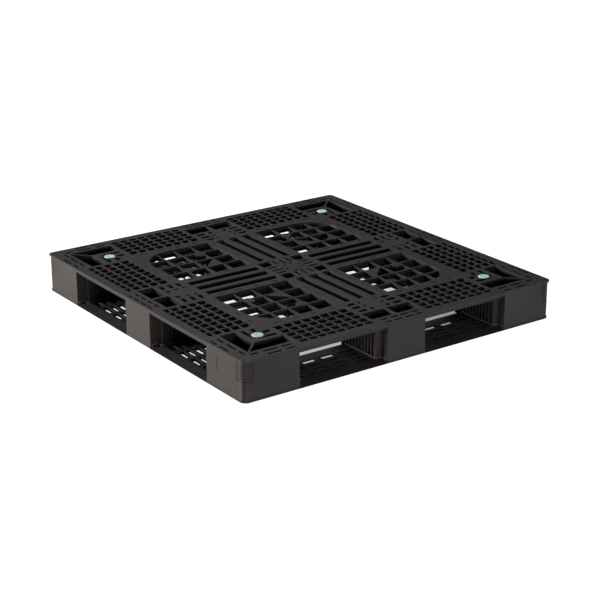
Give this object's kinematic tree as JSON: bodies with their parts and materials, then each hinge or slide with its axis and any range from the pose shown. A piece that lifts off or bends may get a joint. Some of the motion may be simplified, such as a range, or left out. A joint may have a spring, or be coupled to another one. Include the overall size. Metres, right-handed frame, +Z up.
{
  "type": "plastic pallet",
  "caption": "Square four-way plastic pallet: gridded load deck on block posts, perimeter lower deck with a cross, and rubber anti-slip plugs.",
  "frame": {"origin": "on the floor under the pallet's centre", "axes": "+Z up, +X to the right side, +Y to the back; the front is the side at -Y"},
  "size_m": [1.1, 1.1, 0.121],
  "materials": {
    "moulded_plastic": "satin moulded",
    "plug_rubber": "matte"
  },
  "bodies": {
    "root": {"top_deck": "moulded_plastic", "corner_post_front_left": "moulded_plastic", "corner_post_front_right": "moulded_plastic", "corner_post_back_right": "moulded_plastic", "corner_post_back_left": "moulded_plastic", "side_post_front": "moulded_plastic", "side_post_right": "moulded_plastic", "side_post_back": "moulded_plastic", "side_post_left": "moulded_plastic", "centre_post": "moulded_plastic", "bottom_arm_front": "moulded_plastic", "bottom_arm_right": "moulded_plastic", "bottom_arm_back": "moulded_plastic", "bottom_arm_left": "moulded_plastic", "bottom_board_back_right": "moulded_plastic", "bottom_board_back_left": "moulded_plastic", "bottom_board_left_back": "moulded_plastic", "bottom_board_left_front": "moulded_plastic", "bottom_board_front_left": "moulded_plastic", "bottom_board_front_right": "moulded_plastic", "bottom_board_right_front": "moulded_plastic", "bottom_board_right_back": "moulded_plastic", "anti_slip_plug_front_left": "plug_rubber", "anti_slip_plug_front_right": "plug_rubber", "anti_slip_plug_back_right": "plug_rubber", "anti_slip_plug_back_left": "plug_rubber"}
  },
  "joints": []
}
